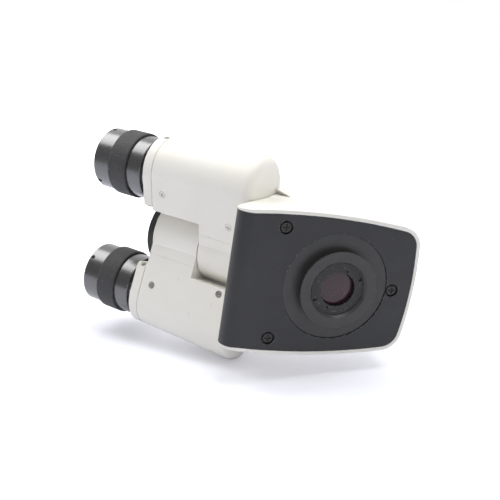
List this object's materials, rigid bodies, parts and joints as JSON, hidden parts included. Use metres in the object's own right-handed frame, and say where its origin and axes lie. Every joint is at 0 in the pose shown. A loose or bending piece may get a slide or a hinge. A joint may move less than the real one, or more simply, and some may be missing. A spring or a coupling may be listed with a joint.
{
  "type": "binocular microscope viewing head",
  "caption": "Binocular viewing head of a laboratory microscope: inclined casing on a round dovetail, swinging prism arms and focusing eyepieces.",
  "frame": {"origin": "centre of the round dovetail's end face", "axes": "+Z away from the microscope stand along its optical axis, -Y towards the user, +X to the right of the head's own left-right plane"},
  "size_m": [0.1184, 0.1679, 0.1266],
  "materials": {
    "ivory_paint": "satin",
    "plate_paint": "satin",
    "flange_black": "satin",
    "black_anodised": "satin",
    "black_screws": "satin",
    "sleeve_steel": "polished",
    "inner_aluminium": "satin",
    "spring_steel": "satin",
    "washer_brass": "satin",
    "grip_rubber": "matte",
    "lens_glass": "polished"
  },
  "bodies": {
    "head": {"base_plate": "plate_paint", "plate_screws": "black_screws", "dovetail_flange": "flange_black", "flange_screws": "black_screws", "lens_cell": "black_anodised", "lens_retaining_ring": "black_anodised", "tube_lens": "lens_glass", "main_casing": "ivory_paint", "deflecting_prism": "lens_glass", "prism_holder": "inner_aluminium", "holder_screws": "black_screws", "prism_clip": "spring_steel", "hinge_tube": "inner_aluminium", "hinge_tube_screws": "black_screws", "thrust_washers": "washer_brass", "hinge_lock_nut": "inner_aluminium", "scale_disc": "black_anodised"},
    "right_arm": {"right_arm_chassis": "ivory_paint", "right_arm_cover": "ivory_paint", "right_arm_cover_screws": "black_screws", "right_arm_cap": "ivory_paint", "right_arm_cap_screws": "black_screws", "right_arm_cap_grubs": "black_screws", "right_eyepiece_sleeve": "sleeve_steel", "right_inner_prism": "lens_glass", "right_outer_prism": "lens_glass", "right_prism_clamp": "spring_steel", "right_eyepiece_barrel": "black_anodised", "right_field_lens": "lens_glass"},
    "right_focus_ring": {"right_focus_ring": "black_anodised", "right_focus_grip": "grip_rubber"},
    "right_eye_cell": {"right_eye_cell": "black_anodised", "right_eye_cell_grubs": "black_screws", "right_eye_lens": "lens_glass"},
    "left_arm": {"left_arm_chassis": "ivory_paint", "left_arm_cover": "ivory_paint", "left_arm_cover_screws": "black_screws", "left_arm_cap": "ivory_paint", "left_arm_cap_screws": "black_screws", "left_arm_cap_grubs": "black_screws", "left_eyepiece_sleeve": "sleeve_steel", "left_inner_prism": "lens_glass", "left_outer_prism": "lens_glass", "left_prism_clamp": "spring_steel", "left_eyepiece_barrel": "black_anodised", "left_field_lens": "lens_glass"},
    "left_focus_ring": {"left_focus_ring": "black_anodised", "left_focus_grip": "grip_rubber"},
    "left_eye_cell": {"left_eye_cell": "black_anodised", "left_eye_cell_grubs": "black_screws", "left_eye_lens": "lens_glass"}
  },
  "joints": [
    {"name": "right_arm_swing", "type": "hinge", "parent": "head", "child": "right_arm", "pos_m": [0, 0, 0.0164], "axis": [0, -0.7071, 0.7071], "range_deg": [-32.7, 13.4]},
    {"name": "left_arm_swing", "type": "hinge", "parent": "head", "child": "left_arm", "pos_m": [0, 0, 0.0164], "axis": [0, -0.7071, 0.7071], "range_deg": [-13.4, 32.7]},
    {"name": "right_focus_turn", "type": "hinge", "parent": "right_arm", "child": "right_focus_ring", "pos_m": [0.03648, -0.09726, 0.10137], "axis": [0, -0.7071, 0.7071], "range_deg": [0, 330]},
    {"name": "right_eye_travel", "type": "slide", "parent": "right_arm", "child": "right_eye_cell", "axis": [0, -0.7071, 0.7071], "range_m": [0, 0.004]},
    {"name": "left_focus_turn", "type": "hinge", "parent": "left_arm", "child": "left_focus_ring", "pos_m": [-0.03648, -0.09726, 0.10137], "axis": [0, -0.7071, 0.7071], "range_deg": [0, 330]},
    {"name": "left_eye_travel", "type": "slide", "parent": "left_arm", "child": "left_eye_cell", "axis": [0, -0.7071, 0.7071], "range_m": [0, 0.004]}
  ],
  "couplings": [
    {"joint": "left_arm_swing", "follows": "right_arm_swing", "ratio": -1},
    {"joint": "right_focus_turn", "follows": "right_eye_travel", "rad_per_m": 1439.9},
    {"joint": "left_focus_turn", "follows": "left_eye_travel", "rad_per_m": 1439.9}
  ]
}
